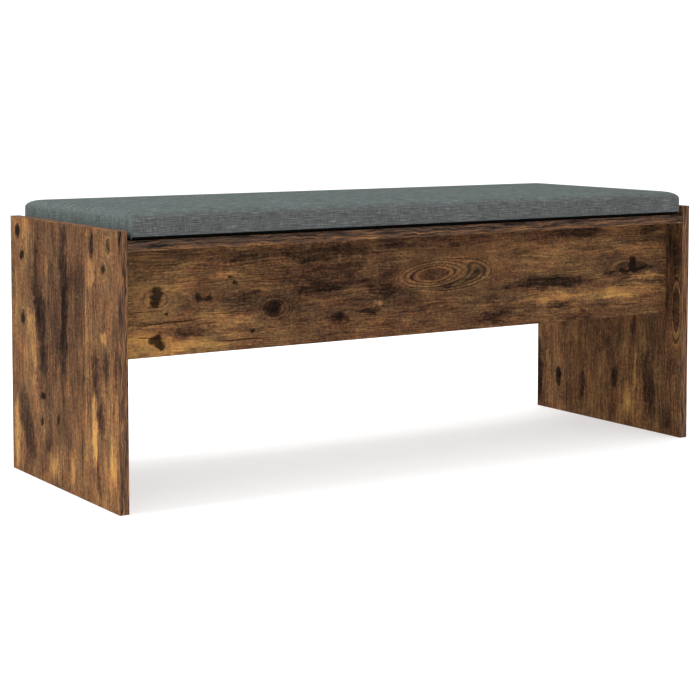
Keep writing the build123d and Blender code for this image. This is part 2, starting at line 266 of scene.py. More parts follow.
def circle_the_eyes(tree, place, across, eyes):
    """Bends the grain round each eye: inside it, across becomes the distance from the eye's dark middle."""
    inside = None
    for *ellipse, strength in eyes:
        half_wide = ellipse[3]
        spot = on_ellipse(tree, place, *ellipse)
        far = put(tree, "VectorMath", {0: spot}, operation="LENGTH").outputs["Value"]
        core = put(tree, "MapRange", {"Value": far, 1: 0.74, 2: 1.0, 3: 1.0, 4: 0.0},
                   interpolation_type="SMOOTHSTEP")
        change = put(tree, "Math", {0: far, 1: half_wide}, operation="MULTIPLY")
        change = put(tree, "Math", {0: change, 1: 2 * RING_SPACING}, operation="MAXIMUM")
        change = put(tree, "Math", {0: change, 1: across}, operation="SUBTRACT")
        across = put(tree, "Math", {0: change, 1: core, 2: across}, operation="MULTIPLY_ADD")
        core = put(tree, "Math", {0: core, 1: strength}, operation="MULTIPLY")
        inside = put(tree, "Math", {0: core, 1: inside or 0.0}, operation="MAXIMUM")
    return across, inside


print("a mark is (along, across, half length, half width, turn, strength)")

# %% [markdown]
# ### A board's own material
# Boards are cut from the sheet in different directions, so a board's material first says which axes of the
# room run along the grain, across it and through the board. The through axis counts a little, so that the two
# faces differ. Then the coordinates are made ragged by noise, in three strengths: soft for stains, firm for
# knots, and fine for cracks and grain lines, so that no mark has a clean outline.

# %% Board materials
GRAIN_AXES = {"x": 0, "y": 1, "z": 2}
GRAIN_WANDER = 30.0       # mm that the grain lines may wander sideways over a hand's length


def board_finish(name, axes, face_seed, eyes=(), zones=(), stains_and_shade=(), pale=(), knots=(), cracks=()):
    """Melamine board with the decor. axes name the axes along the grain, across it and through the board."""
    material, tree, shader = start_finish(name)
    own = put(tree, "TexCoord").outputs["Object"]
    split = put(tree, "SeparateXYZ", {0: own}).outputs
    along, across, through = (split[GRAIN_AXES[a]] for a in axes)
    face = put(tree, "Math", {0: through, 1: 0.12, 2: face_seed * MM}, operation="MULTIPLY_ADD")
    board = put(tree, "CombineXYZ", {"X": along, "Y": across, "Z": face})
    board = put(tree, "VectorMath", {0: board, "Scale": 1 / MM}, operation="SCALE")

    # Ragged coordinates: soft, firm and fine.
    ragged = stretched(tree, board, (22, 14), 5.0, 0.68).outputs["Color"]
    ragged = put(tree, "VectorMath", {0: ragged, 1: (0.5, 0.5, 0.5)}, operation="SUBTRACT")
    soft_edge = put(tree, "VectorMath", {0: ragged, 1: (50, 30, 0), 2: board}, operation="MULTIPLY_ADD")
    torn = stretched(tree, board, (9, 7), 4.0, 0.7, 5.1).outputs["Color"]
    torn = put(tree, "VectorMath", {0: torn, 1: (0.5, 0.5, 0.5)}, operation="SUBTRACT")
    firm_edge = put(tree, "VectorMath", {0: ragged, 1: (20, 16, 0), 2: board}, operation="MULTIPLY_ADD")
    firm_edge = put(tree, "VectorMath", {0: torn, 1: (14, 12, 0), 2: firm_edge}, operation="MULTIPLY_ADD")
    line_edge = put(tree, "VectorMath", {0: ragged, 1: (5, 6, 0), 2: board}, operation="MULTIPLY_ADD")

    # The grain's flow: across is pushed by slow noise, then bent round the eyes.
    wander = stretched(tree, board, (190, 46), 3.0, 0.5)
    wander = put(tree, "Math", {0: wander, 1: 0.5}, operation="SUBTRACT")
    parts = put(tree, "SeparateXYZ", {0: line_edge}).outputs
    bent = put(tree, "Math", {0: wander, 1: GRAIN_WANDER, 2: parts["Y"]}, operation="MULTIPLY_ADD")
    bent, inside = circle_the_eyes(tree, line_edge, bent, eyes)
    flow = put(tree, "CombineXYZ", {"X": parts["X"], "Y": bent, "Z": parts["Z"]})

    knot = put(tree, "MapRange", {"Value": marks(tree, firm_edge, knots), 1: 0.12, 2: 0.58, 4: 0.92},
               interpolation_type="SMOOTHSTEP")
    crack = put(tree, "MapRange", {"Value": marks(tree, line_edge, cracks), 1: 0.25, 2: 0.6, 4: 0.85},
                interpolation_type="SMOOTHSTEP")
    decor = tree.nodes.new("ShaderNodeGroup")
    decor.node_tree = DECOR
    tree.links.new(board.outputs[0], decor.inputs["Board"])
    tree.links.new(flow.outputs[0], decor.inputs["Flow"])
    zone, stain_and_shade, light = (marks(tree, soft_edge, found) for found in (zones, stains_and_shade, pale))
    for socket, value in (("Eye", inside), ("Zone", zone), ("Stain_and_shade", stain_and_shade), ("Pale", light),
                          ("Knot", knot), ("Crack", crack)):
        if value:
            tree.links.new(value.outputs[0], decor.inputs[socket])
    bump = put(tree, "Bump", {"Height": decor.outputs["Height"], "Strength": 0.35, "Distance": 0.3 * MM})
    tree.links.new(decor.outputs["Colour"], shader.inputs["Base Color"])
    tree.links.new(decor.outputs["Roughness"], shader.inputs["Roughness"])
    tree.links.new(bump.outputs[0], shader.inputs["Normal"])
    shader.inputs["IOR"].default_value = 1.5
    shader.inputs["Specular IOR Level"].default_value = 0.005
    return material


print(f"grain lines wander by up to {GRAIN_WANDER / 2:.0f} mm to each side")

# %% [markdown]
# ### The three boards that are seen first
# Their marks are placed where this decor's sheet falls on each board. Along is up on a side panel
# and to the right on the front panel. Across is towards the back on a side panel and up on the front panel.

# %% Marks on the seen boards
left_board = board_finish(
    "melamine_decor_left", "zyx", 11.0,
    eyes=[(387, 172, 30, 19, 0, 0.3), (350, 154, 28, 17, 0, 0.3), (249, 152, 28, 17, 0, 0.3),
          (386, -167, 22, 16, 0, 0.4), (350, -150, 22, 16, 20, 0.4), (103, 16, 28, 14, 0, 0.5),
          (300, 108, 34, 24, 0, 0.3)],
    zones=[(270, 20, 230, 130, 0, -1.25), (330, -70, 120, 60, 0, -0.7), (20, -140, 110, 80, 0, 0.9),
           (130, -185, 70, 40, 0, 0.8), (385, 180, 50, 40, 0, 0.6), (180, 130, 60, 40, 0, 0.9),
           (230, 185, 50, 30, 0, 0.6), (25, 20, 60, 60, 0, -0.4)],
    stains_and_shade=[(262, 82, 46, 30, 0, 1.3), (200, 76, 75, 27, 0, 0.9), (320, -8, 120, 27, 0, 0.9),
            (200, -6, 90, 22, 0, 0.8), (105, 150, 55, 34, 0, 0.9), (55, 125, 60, 36, 8, 0.9),
            (195, -118, 62, 17, 0, 1.2), (130, -140, 52, 15, 0, 1.0), (205, -156, 45, 15, 0, 1.0),
            (205, -190, 50, 13, 0, 1.0), (335, 100, 60, 14, 0, 0.7), (385, -110, 36, 12, 0, 0.9),
            (60, 60, 60, 30, 0, 0.45), (305, 190, 60, 14, 0, 0.7), (30, -130, 60, 12, 8, 0.7)],
    pale=[(340, -105, 48, 18, 0, 1.2), (110, -117, 75, 12, 0, 1.6), (60, 182, 90, 18, 0, 1.2),
          (180, 108, 95, 13, 0, 0.9), (30, 30, 40, 40, 0, 0.9), (200, -88, 260, 9, 0, 0.6),
          (30, -40, 60, 30, 0, 0.7), (60, -175, 90, 26, 0, 0.7), (240, 120, 60, 20, 0, 0.6),
          (250, -150, 14, 14, 0, 1.8), (330, 60, 50, 16, 0, 0.5), (390, 140, 60, 30, 0, 0.5)],
    knots=[(387, 172, 15, 16, 0, 1.1), (350, 154, 14, 14, 0, 1.0), (249, 152, 14, 13, 0, 1.0),
           (386, -167, 14, 8, 30, 0.7), (350, -150, 13, 9, -35, 0.8), (135, 74, 8, 16, 0, 1.1),
           (94, 80, 10, 10, 0, 1.0), (108, 16, 16, 8, 0, 0.8), (262, 88, 24, 14, 0, 0.7),
           (310, -62, 10, 6, 0, 0.6)],
    cracks=[(200, -78, 300, 2.2, 0, 0.55), (230, -85, 260, 1.8, 0, 0.7), (170, -92, 280, 2.0, 0, 0.6),
            (150, -101, 200, 2.0, 1, 0.6), (250, -132, 110, 1.8, 0, 0.5), (60, -72, 140, 2.2, 0, 0.6),
            (320, -66, 120, 1.8, 0, 0.5), (140, -185, 140, 1.6, 0, 0.5), (300, -150, 100, 1.6, 0, 0.4)])

# The long stains along the front panel's top edge, 362 to 372 mm up, are partly painted shade under the lid.
front_board = board_finish(
    "melamine_decor_front", "xzy", 47.0,
    eyes=[(64, 312, 126, 38, 2, 0.9), (30, 314, 92, 27, 3, 1.0), (-268, 278, 44, 28, 0, 0.3),
          (-470, 303, 36, 24, 0, 0.3), (-392, 302, 34, 15, 0, 0.3), (452, 305, 66, 17, 0, 0.35),
          (-465, 242, 34, 18, 0, 0.3)],
    zones=[(-490, 280, 90, 60, 0, 1.0), (-260, 290, 150, 60, 0, -0.8), (-60, 275, 200, 70, 0, -0.9),
           (60, 340, 150, 40, 0, -0.7), (160, 275, 150, 50, 0, -0.7), (430, 300, 160, 70, 0, -0.7),
           (-330, 238, 120, 30, 0, 0.5)],
    stains_and_shade=[(-268, 278, 30, 24, 0, 1.1), (-160, 330, 140, 48, 0, 0.65), (270, 288, 110, 14, 0, 1.3),
            (-150, 256, 34, 10, 0, 1.1), (150, 238, 46, 12, 0, 1.1), (290, 248, 38, 15, 0, 0.7),
            (340, 370, 90, 13, 0, 1.2), (-200, 350, 36, 7, 0, 1.0), (-300, 362, 260, 18, 0, 0.6),
            (20, 366, 330, 20, 0, 0.55), (-420, 250, 70, 22, 20, 0.7), (-330, 300, 60, 16, 0, 0.7),
            (-60, 300, 90, 34, 0, 0.5), (330, 226, 70, 12, 0, 0.8), (40, 228, 150, 14, 0, 0.4),
            (500, 372, 40, 18, 0, 1.0), (425, 297, 60, 7, 4, 1.0), (495, 300, 34, 8, 0, 1.0),
            (-200, 300, 60, 14, 0, 0.8), (-90, 264, 40, 7, 0, 1.0),
            (32, 314, 40, 13, 3, 0.4)],
    pale=[(-430, 232, 120, 22, 0, 1.0), (-500, 240, 70, 34, 0, 0.9), (-450, 325, 110, 30, 0, 0.5),
          (-350, 265, 110, 22, 0, 0.8), (330, 262, 240, 18, 0, 0.8), (430, 335, 120, 22, 0, 0.6),
          (250, 325, 110, 22, 0, 0.45), (470, 262, 100, 24, 0, 0.7), (110, 312, 70, 24, 0, 0.4),
          (-75, 273, 12, 9, 0, 1.2), (100, 255, 120, 16, 0, 0.3), (-345, 335, 40, 14, 0, 0.7),
          (490, 288, 60, 7, 0, 1.4), (-20, 238, 100, 14, 0, 0.3)],
    knots=[(-469, 311, 15, 17, 0, 1.1), (-472, 293, 13, 9, 0, 1.0), (-398, 302, 13, 9, 0, 1.0),
           (-382, 301, 9, 8, 0, 1.0), (-470, 244, 17, 13, 15, 1.0), (-462, 234, 10, 9, 0, 0.9),
           (-452, 282, 5, 4, 0, 0.9), (-305, 247, 6, 6, 0, 0.8), (455, 311, 14, 20, 0, 1.0),
           (462, 299, 12, 9, 0, 0.9), (-268, 277, 22, 18, 0, 0.55), (-346, 330, 10, 6, 0, 0.8),
           (-338, 321, 9, 6, 0, 0.7), (-150, 257, 18, 6, 0, 0.6)],
    cracks=[(-450, 268, 90, 2.6, 2, 0.9), (-350, 276, 90, 1.6, 2, 0.7), (-325, 234, 75, 2.2, -1, 1.0),
            (-480, 247, 50, 2.2, -4, 0.8), (470, 290, 80, 1.5, 0, 0.8), (450, 272, 120, 1.5, -2, 0.7),
            (-500, 286, 60, 1.4, 0, 0.7), (240, 299, 120, 1.4, -1, 0.5)])

right_board = board_finish(
    "melamine_decor_right", "zyx", 83.0,
    eyes=[(225, -186, 100, 22, 0, 1.2), (65, 137, 30, 14, 0, 0.6)],
    zones=[(230, -170, 260, 60, 0, -0.8), (230, 120, 80, 90, 0, -0.6), (30, -50, 70, 70, 0, 1.2),
           (60, 190, 120, 40, 0, -0.6), (380, 0, 60, 160, 0, -0.5)],
    stains_and_shade=[(110, -112, 62, 20, 0, 1.1), (60, -122, 60, 22, 0, 0.8), (62, 195, 90, 15, 0, 1.2),
            (65, 137, 30, 13, 0, 1.2), (58, 65, 45, 11, 0, 1.0), (85, -25, 26, 13, 0, 1.1),
            (20, -20, 40, 26, 0, 0.7), (180, -75, 50, 16, 0, 0.8), (150, 0, 120, 60, 0, 0.35),
            (330, -180, 80, 40, 0, 0.6), (20, -170, 60, 20, 0, 0.6)],
    pale=[(50, -60, 45, 26, 0, 0.9), (100, -80, 60, 10, 0, 1.0), (30, 40, 50, 20, 0, 0.6),
          (60, -184, 70, 12, 0, 0.6), (120, 170, 80, 10, 0, 0.6)],
    knots=[(68, 132, 12, 7, 0, 0.7)],
    cracks=[(120, 120, 90, 1.4, 0, 0.6), (90, 40, 80, 1.4, 0, 0.5)])
print("marked by hand:", left_board.name, front_board.name, right_board.name)

# %% [markdown]
# ### The boards that are seen less
# The back and bottom panels and the lid are cut from the same sheet. Their marks are drawn by a seeded random
# generator, so that they look as busy as the others and come out the same on every run.

# %% Random marks
def scattered(seed, length, width, count):
    """Mark lists for a board that runs from -length to length along and from -width to width across."""
    rng = random.Random(seed)
    places = [(rng.uniform(-length, length), rng.uniform(-width, width)) for _ in range(4 * count)]
    knots = [(*p, rng.uniform(8, 17), rng.uniform(6, 12), 0, rng.uniform(0.7, 1.2))
             for p in places[:count]]
    return {
        "eyes": [(a, b, 2.2 * long, 1.8 * wide, 0, 0.7) for a, b, long, wide, _, _ in knots],
        "stains_and_shade": [(*p, rng.uniform(30, 110), rng.uniform(10, 34), 0, rng.uniform(0.6, 1.3))
                   for p in places[count:3 * count]],
        "pale": [(*p, rng.uniform(40, 120), rng.uniform(8, 26), 0, rng.uniform(0.5, 1.2))
                 for p in places[2 * count:]],
        "knots": knots,
        "cracks": [(*p, rng.uniform(50, 110), 1.6, rng.uniform(-3, 3), 0.8) for p in places[:count // 2]],
    }


lid_board = board_finish("melamine_decor_lid", "xyz", 131.0, **scattered(3, 530, 190, 9))
bottom_board = board_finish("melamine_decor_bottom", "xyz", 171.0, **scattered(5, 530, 140, 8))
across_back = scattered(8, 530, 75, 7)
middle = (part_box("back_panel")[0].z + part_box("back_panel")[1].z) / 2 / MM
back_marks = {kind: [(m[0], m[1] + middle, *m[2:]) for m in found] for kind, found in across_back.items()}
back_board = board_finish("melamine_decor_back", "xzy", 211.0, **back_marks)

for node_name, material in (("side_panel_left", left_board), ("side_panel_right", right_board),
                            ("front_panel", front_board), ("back_panel", back_board),
                            ("bottom_panel", bottom_board), ("lid_board", lid_board)):
    dress(node_name, material)
print("boards dressed, back marks centred at", round(middle), "mm")

# %% [markdown]
# ## Edge bands
# A thin plastic strip is glued over every open chipboard edge. Its print is not the board's own: long wavy
# lines, dark grey-brown between pinkish and orange ones. The same trick of pushing the across coordinate
# with noise makes the lines wander, and a little bump keeps them from looking flat. The lid's band also
# darkens towards its top, which is painted shade under the cushion.

# %% Edge band material
def edge_band(name, along, across, seed, level=0.0, painted_shade=0.0):
    """Printed edge band. along and across are weights on X, Y and Z, so that one material turns corners.
    The last argument is painted shade: how much the tone changes per mm above the line at level."""
    material, tree, shader = start_finish(name)
    own = put(tree, "TexCoord").outputs["Object"]
    run = put(tree, "VectorMath", {0: own, 1: along}, operation="DOT_PRODUCT").outputs["Value"]
    over = put(tree, "VectorMath", {0: own, 1: across}, operation="DOT_PRODUCT").outputs["Value"]
    strip = put(tree, "CombineXYZ", {"X": run, "Y": over, "Z": seed * MM})
    strip = put(tree, "VectorMath", {0: strip, "Scale": 1 / MM}, operation="SCALE")
    wave = stretched(tree, strip, (30, 12), 3.0, 0.5)
    wave = put(tree, "Math", {0: wave, 1: 0.5}, operation="SUBTRACT")
    wave = put(tree, "Math", {0: wave, 1: 12.0}, operation="MULTIPLY")
    flow = put(tree, "VectorMath", {0: strip, 1: put(tree, "CombineXYZ", {"Y": wave})}, operation="ADD")
    line = stretched(tree, flow, (60, 2.6), 4.0, 0.62)
    pore = stretched(tree, flow, (14, 1.1), 2.0, 0.5)
    tone = put(tree, "Math", {0: line, 1: 1.75, 2: -0.50}, operation="MULTIPLY_ADD")
    tone = put(tree, "Math", {0: pore, 1: 0.22, 2: tone}, operation="MULTIPLY_ADD")
    beside = put(tree, "Math", {0: over, 1: level}, operation="SUBTRACT")
    tone = put(tree, "Math", {0: beside, 1: painted_shade / MM, 2: tone}, operation="MULTIPLY_ADD")
    paint = put(tree, "ValToRGB", {"Fac": tone}, stops=[
        (0.16, "#1e1714"), (0.88, "#a67c54"), (0.34, "#40342d"), (0.46, "#543f31"),
        (0.56, "#6f4d37"), (0.68, "#835e3e")])
    bump = put(tree, "Bump", {"Height": line, "Strength": 0.3, "Distance": 0.2 * MM})
    tree.links.new(paint.outputs[0], shader.inputs["Base Color"])
    tree.links.new(bump.outputs[0], shader.inputs["Normal"])
    shader.inputs["Roughness"].default_value = 0.55
    shader.inputs["IOR"].default_value = 1.5
    shader.inputs["Specular IOR Level"].default_value = 0.01
    return material


upright_band = edge_band("edge_band_upright", (0, 1, 1), (1, 0, 0), 3.0)
lid_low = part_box("lid_edging")[0].z
# The lid's band darkens upwards from its lower edge: painted shade under the cushion.
lid_band = edge_band("edge_band_lid", (1, 1, 0), (0, 0, 1), 21.0, lid_low, -0.013)
panel_band = edge_band("edge_band_panel", (1, 0, 0), (0, 1, 0), 57.0)
for node_name, material in (("side_edging_left", upright_band), ("side_edging_right", upright_band),
                            ("lid_edging", lid_band), ("front_panel_edging", panel_band),
                            ("back_panel_edging", panel_band)):
    dress(node_name, material)
print(f"the lid's band starts {lid_low / MM:.0f} mm above the floor")

# %% [markdown]
# ## Small parts
# Zinc-plated steel is a bluish, slightly cloudy metal; die-cast zinc is duller and grainier; the dowels are
# turned beech; the buffers are clear soft plastic; hook tape is black nylon, and the base board is black
# hardboard. Tape and board lie in the gap under the cushion and are made darker than real black, with almost
# no shine, so that they also paint the shade of that gap. Each finish has a few nodes only, because these
# parts are small, but none is left one flat colour.

# %% Materials of the fittings
def plain_finish(name, low, high, scale, roughness, metallic=0.0, depth=0.1, shine=0.2):
    """A simple finish: colour between two tones by noise, in lumps of scale mm, with a little bump."""
    material, tree, shader = start_finish(name)
    own = put(tree, "TexCoord").outputs["Object"]
    size = put(tree, "VectorMath", {0: own, 1: tuple(1 / (s * MM) for s in scale)}, operation="MULTIPLY")
    cloud = put(tree, "TexNoise", {"Vector": size, "Scale": 1.0, "Detail": 4.0, "Roughness": 0.6})
    paint = put(tree, "ValToRGB", {"Fac": cloud}, stops=[(0.3, low), (0.7, high)])
    rough = put(tree, "MapRange", {"Value": cloud, 1: 0.3, 2: 0.7, 3: roughness[0], 4: roughness[1]})
    bump = put(tree, "Bump", {"Height": cloud, "Strength": 0.4, "Distance": depth * MM})
    tree.links.new(paint.outputs[0], shader.inputs["Base Color"])
    tree.links.new(rough.outputs[0], shader.inputs["Roughness"])
    tree.links.new(bump.outputs[0], shader.inputs["Normal"])
    shader.inputs["Metallic"].default_value = metallic
    if not metallic:
        shader.inputs["Specular IOR Level"].default_value = shine
    return material


METAL = 1.0
zinc_plate = plain_finish("zinc_plated_steel", "#74787b", "#969a9e", (6, 6, 6), (0.28, 0.42), METAL, 0.02)
cast_zinc = plain_finish("die_cast_zinc", "#8a8b8c", "#a5a6a8", (1.5, 1.5, 1.5), (0.45, 0.6), METAL, 0.05)
beech = plain_finish("turned_beech", "#b88a5c", "#d9b488", (22, 1.2, 1.2), (0.55, 0.7), depth=0.05)
soft_clear = plain_finish("clear_polyurethane", "#d8d8d0", "#e6e6e0", (2, 2, 2), (0.2, 0.3), depth=0.02)
# Near-black tape and base board: real black parts, and painted shade of the gap under the cushion.
tape_black_and_gap_shade = plain_finish("black_nylon_tape_and_gap_shade", "#050505", "#101011", (0.6, 0.6, 0.6), (0.8, 0.95),
                          depth=0.4, shine=0.01)
base_black_and_gap_shade = plain_finish("black_hardboard_and_gap_shade", "#050505", "#0c0c0c", (3, 3, 3), (0.6, 0.8), shine=0.01)

for node_name in nodes:
    if "leaf" in node_name or "pin" in node_name or "screws" in node_name or "bolts" in node_name:
        dress(node_name, zinc_plate)
    elif "cams" in node_name:
        dress(node_name, cast_zinc)
    elif "dowels" in node_name:
        dress(node_name, beech)
    elif "strips" in node_name:
        dress(node_name, tape_black_and_gap_shade)
dress("lid_buffers", soft_clear)
dress("cushion_base", base_black_and_gap_shade)
print("fittings, tape and base board dressed")

# %% [markdown]
# ## The cushion
# A foam slab on a black base board, under a cover cut like a fitted sheet: one cloth goes over the top and
# down all four sides, and each corner is closed by a short upright seam. The top edges are rounded, wider
# than high, because the cloth pulls the foam's edge inwards. A box with a bevel would miss that, so the cover
# is built ring by ring: each ring is a rounded rectangle, and the profile says how far in and how high it is.

# %% Cushion sizes, from the frame
cover_low, cover_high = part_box("cushion_cover")
centre = (cover_low + cover_high) / 2
HALF_X = (cover_high.x - cover_low.x) / 2
HALF_Y = (cover_high.y - cover_low.y) / 2
ROLL_IN = 20 * MM         # how far in the rounding of the top edge reaches
ROLL_DOWN = 13 * MM       # and how far down
HEM_TUCK = 0.8 * MM       # the cloth turns under at the hem
CORNER_R = 3.5 * MM       # tight, because a seam pulls the corner together
TOP_RISE = 2.4 * MM       # the crown stands this much above the plain solid
CROWN = 3.2 * MM          # the flat top still rises this much to its middle
SEAM_DEPTH = 0.5 * MM     # the corner seam's groove
SEAM_REACH = 9 * MM       # it ends where the cloth turns onto the top
END_DROP = 3.2 * MM       # how much lower than the front flap the end flaps hang at the front
BACK_DROP = 5.1 * MM      # and at the back, where the back flap nearly touches the lid
HEM_RINGS = 3             # rings of the hem, which hang lower with a flap
ALONG_STEPS, DEPTH_STEPS, CORNER_STEPS = 150, 56, 8
print(f"cover {2 * HALF_X / MM:.0f} x {2 * HALF_Y / MM:.0f} x {(cover_high.z - cover_low.z) / MM:.0f} mm")


# %% [markdown]
# ### The rings
# The profile runs from the hem, up the wall, round the top edge and over to the middle. The rounding is a
# little squarer than a quarter circle, as foam under cloth is. The outline is the rounded rectangle that a
# ring follows, with even steps along each side, so that every ring has the same number of points.

# %% Profile and outline
def profile(inset):
    """(distance in, height) of each ring from the hem up and over to the middle."""
    top = cover_high.z + TOP_RISE - inset
    points = [(HEM_TUCK, cover_low.z + 0.2 * MM), (0.6 * MM, cover_low.z + 0.1 * MM)]
    points.append((0.0, cover_low.z + HEM_TUCK))
    wall_top = top - CROWN - ROLL_DOWN
    points += [(0.0, wall_top * (1 - t) + (cover_low.z + HEM_TUCK) * t) for t in (0.75, 0.5, 0.25, 0.0)]
    for step in range(1, 13):
        turn = math.radians(90 * step / 12)
        points.append((ROLL_IN * (1 - math.cos(turn) ** 0.9), wall_top + ROLL_DOWN * math.sin(turn) ** 0.9))
    for share in (0.06, 0.14, 0.24, 0.36, 0.5, 0.64, 0.78, 0.9, 0.97):
        into = ROLL_IN + share * (HALF_Y - ROLL_IN)
        rise = math.sin(math.radians(90) * min(1.0, share * 1.6))
        points.append((into, top - CROWN + CROWN * rise))
    return [(into + inset, height) for into, height in points]


def outline(half_x, half_y, radius):
    """Points round a rounded rectangle, anticlockwise from the front-left corner, with each one's side."""
    points = []
    corners = [(1, -1, -90), (1, 1, 0), (-1, 1, 90), (-1, -1, 180)]
    for side, (sx, sy, start) in enumerate(corners):
        px, py, _ = corners[side - 1]
        a = Vector((px * (half_x - radius), py * half_y)) if side % 2 == 0 else Vector(
            (px * half_x, py * (half_y - radius)))
        b = Vector((sx * (half_x - radius), sy * half_y)) if side % 2 == 0 else Vector(
            (sx * half_x, sy * (half_y - radius)))
        steps = ALONG_STEPS if side % 2 == 0 else DEPTH_STEPS
        points += [a.lerp(b, i / steps) for i in range(steps + 1)]
        middle = Vector((sx * (half_x - radius), sy * (half_y - radius)))
        for i in range(1, CORNER_STEPS):
            turn = math.radians(start + 90 * i / CORNER_STEPS)
            points.append(middle + radius * Vector((math.cos(turn), math.sin(turn))))
    return points


print(f"{len(profile(0.0))} rings from the hem to the middle")

# %% [markdown]
# ### Sewing it up
# Rings become vertices and the faces between them. Along the corner seams the cloth is pulled in by half a
# millimetre. The front flap ends above the base board, while the ends and the back hang lower, beside it.
# The UV map "cloth" holds metres on the cloth: flaps are unfolded outwards, so threads run on over the edge.

# %% The cover's mesh
def side_of_columns():
    """Which side (0 front, 1 right, 2 back, 3 left) each column of faces belongs to; corners are split."""
    sides = []
    for side in range(4):
        steps = ALONG_STEPS if side % 2 == 0 else DEPTH_STEPS
        sides += [side] * (steps + CORNER_STEPS // 2) + [(side + 1) % 4] * (CORNER_STEPS // 2)
    return sides


def cover_mesh(name, inset):
    """The cover as rings of vertices, closed along the middle, with metres on the cloth as its UVs."""
    mesh = bpy.data.meshes.new(name)
    bm = bmesh.new()
    cloth = bm.loops.layers.uv.new("cloth")
    rows = []
    steps = profile(inset)
    lengths = [0.0]
    for (in0, z0), (in1, z1) in zip(steps, steps[1:]):
        lengths.append(lengths[-1] + math.hypot(in1 - in0, z1 - z0))
    for into, height in steps:
        radius = CORNER_R + 0.6 * max(0.0, min(into - inset, ROLL_IN))
        radius = min(radius, HALF_Y - into - 0.5 * MM)
        ring = outline(HALF_X - into, HALF_Y - into, max(radius, 0.2 * MM))
        rows.append([bm.verts.new((centre.x + p.x, centre.y + p.y, height)) for p in ring])
    sides = side_of_columns()
    count = len(rows[0])
    for c in range(count):
        seam = sides[c] != sides[c - 1]
        for r, (into, _) in enumerate(steps):
            vert = rows[r][c]
            if seam and into - inset < SEAM_REACH:
                depth = SEAM_DEPTH * (1 - (into - inset) / SEAM_REACH)
                vert.co.x -= math.copysign(depth, vert.co.x - centre.x)
                vert.co.y -= math.copysign(depth, vert.co.y - centre.y)
            if r < HEM_RINGS and inset == 0 and 0 not in (sides[c], sides[c - 1]):
                backwards = (vert.co.y - cover_low.y) / (2 * HALF_Y)
                vert.co.z -= END_DROP + (BACK_DROP - END_DROP) * backwards
    flat_row = next(i for i, (into, _) in enumerate(steps) if into >= ROLL_IN - 1e-6)
    for r in range(len(rows) - 1):
        for c in range(count):
            quad = [(r, c), (r, (c + 1) % count), (r + 1, (c + 1) % count), (r + 1, c)]
            face = bm.faces.new([rows[i][j] for i, j in quad])
            face.smooth = True
            for loop, (i, j) in zip(face.loops, quad):
                x, y, _ = loop.vert.co
                hang = max(0.0, lengths[flat_row] - lengths[i])
                side = sides[c]
                if i < flat_row and side in (0, 2):
                    y = centre.y + (-1 if side == 0 else 1) * (HALF_Y - ROLL_IN + hang)
                elif i < flat_row:
                    x = centre.x + (1 if side == 1 else -1) * (HALF_X - ROLL_IN + hang)
                loop[cloth].uv = (x, y)
    inner = bm.faces.new(rows[-1])
    inner.smooth = True
    for loop in inner.loops:
        loop[cloth].uv = loop.vert.co.xy
    bmesh.ops.triangulate(bm, faces=[inner])
    bm.to_mesh(mesh)
    bm.free()
    return mesh


cover = bpy.data.objects.new("cushion_cover_cloth", cover_mesh("cushion_cover_cloth", 0.0))
scene.collection.objects.link(cover)
print(f"cover with {len(cover.data.vertices)} vertices")

# %% [markdown]
# ### Let the cover settle
# Foam pushes outwards and the cloth, held at its hem, answers with soft unevenness that no formula gives. A
# short cloth simulation with a little inner pressure does this. Gravity is off, the movement is capped, and
# only its outward part is kept, because the foam stands right behind the cloth.

# %% Cloth simulation
SETTLE_CAP = 1.6 * MM


def settle(obj, frames, pressure, cap):
    """Runs the cloth with its hem held. It moves out by cap at most, and never in, where the foam is."""
    mesh = obj.data
    start = [v.co.copy() for v in mesh.vertices]
    hem = obj.vertex_groups.new(name="hem")
    held = [i for i, co in enumerate(start) if co.z < cover_low.z + HEM_TUCK + 0.5 * MM]
    hem.add(held, 1.0, "REPLACE")
    cloth = obj.modifiers.new("settle", "CLOTH")
    cloth.settings.vertex_group_mass = "hem"
    cloth.settings.quality = 4
    cloth.settings.mass = 0.3
    cloth.settings.use_pressure = True
    cloth.settings.uniform_pressure_force = pressure
    cloth.settings.shrink_min = -0.004
    cloth.settings.effector_weights.gravity = 0.0
    for frame_number in range(1, frames + 1):
        scene.frame_set(frame_number)
    settled = obj.evaluated_get(bpy.context.evaluated_depsgraph_get()).to_mesh()
    out = [(settled.vertices[i].co - co).dot(mesh.vertices[i].normal) for i, co in enumerate(start)]
    obj.modifiers.remove(cloth)
    obj.vertex_groups.remove(hem)
    normals = [v.normal.copy() for v in mesh.vertices]
    share = min(1.0, cap / max(out))
    for vert, co, normal, distance in zip(mesh.vertices, start, normals, out):
        vert.co = co + normal * max(0.0, distance * share)
    scene.frame_set(1)
    print(f"cloth wanted to move out by up to {max(out) / MM:.2f} mm, and moved {share:.0%} of that")


settle(cover, frames=14, pressure=3.0, cap=SETTLE_CAP)

# %% [markdown]
# ### The cloth
# A heathered polyester linen: two yarns of different grey, woven plain, with thicker slubs here and there.
# Real threads lie 1 mm apart, which is too fine to show from across a room, so they are drawn a little
# coarser, and the slubs at their real length. Noise stretched along each thread direction gives the slubs,
# two sine waves give the weave's height, and a trace of sheen stands for the loose fibres that catch light.
# The top and the ends look slightly greener than the long sides in this light, so faces that don't look to
# the front or back get a faint green tint. It is painted light, since the cloth is the same all round.

# %% Fabric material
THREAD = 1.5              # mm between threads, drawn coarser than the real 1.0
SLUB = 22.0               # mm, usual length of a thick place in a thread


